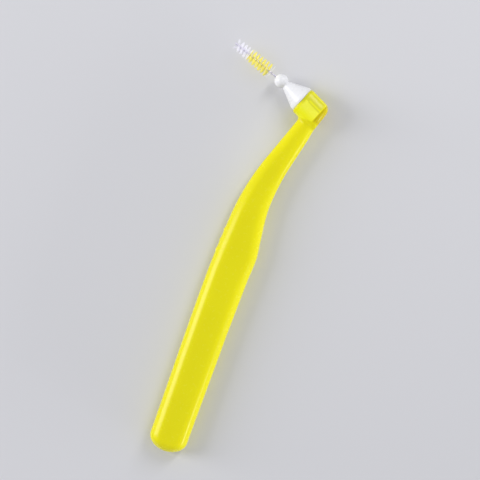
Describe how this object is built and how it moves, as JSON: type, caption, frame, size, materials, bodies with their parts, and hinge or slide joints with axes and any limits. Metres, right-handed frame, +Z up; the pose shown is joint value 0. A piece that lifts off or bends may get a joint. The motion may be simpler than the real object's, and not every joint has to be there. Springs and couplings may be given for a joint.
{
  "type": "interdental brush",
  "caption": "Interdental brush with a flat curved grip, an angled head, a moulded hub and a twisted-wire brush with yellow and white filaments.",
  "frame": {"origin": "on the flat back of the grip, at the middle of its straight length", "axes": "+Y runs along the grip from the butt to the head, +Z is up through the thickness with the brush lying on its back, and the brush points to -X"},
  "size_m": [0.0357, 0.1322, 0.0088],
  "materials": {
    "handle_plastic": "glossy moulded polypropylene, bright yellow, slightly translucent",
    "hub_plastic": "white moulded plastic, soft gloss",
    "steel_wire": "fine drawn stainless wire, folded and twisted, thinly coated",
    "yellow_nylon": "pale yellow nylon filaments, slightly translucent",
    "white_nylon": "white nylon filaments, slightly translucent"
  },
  "bodies": {
    "root": {"handle": "handle_plastic", "brush_hub": "hub_plastic", "core_wire": "steel_wire", "yellow_filaments": "yellow_nylon", "white_filaments": "white_nylon"}
  },
  "joints": []
}
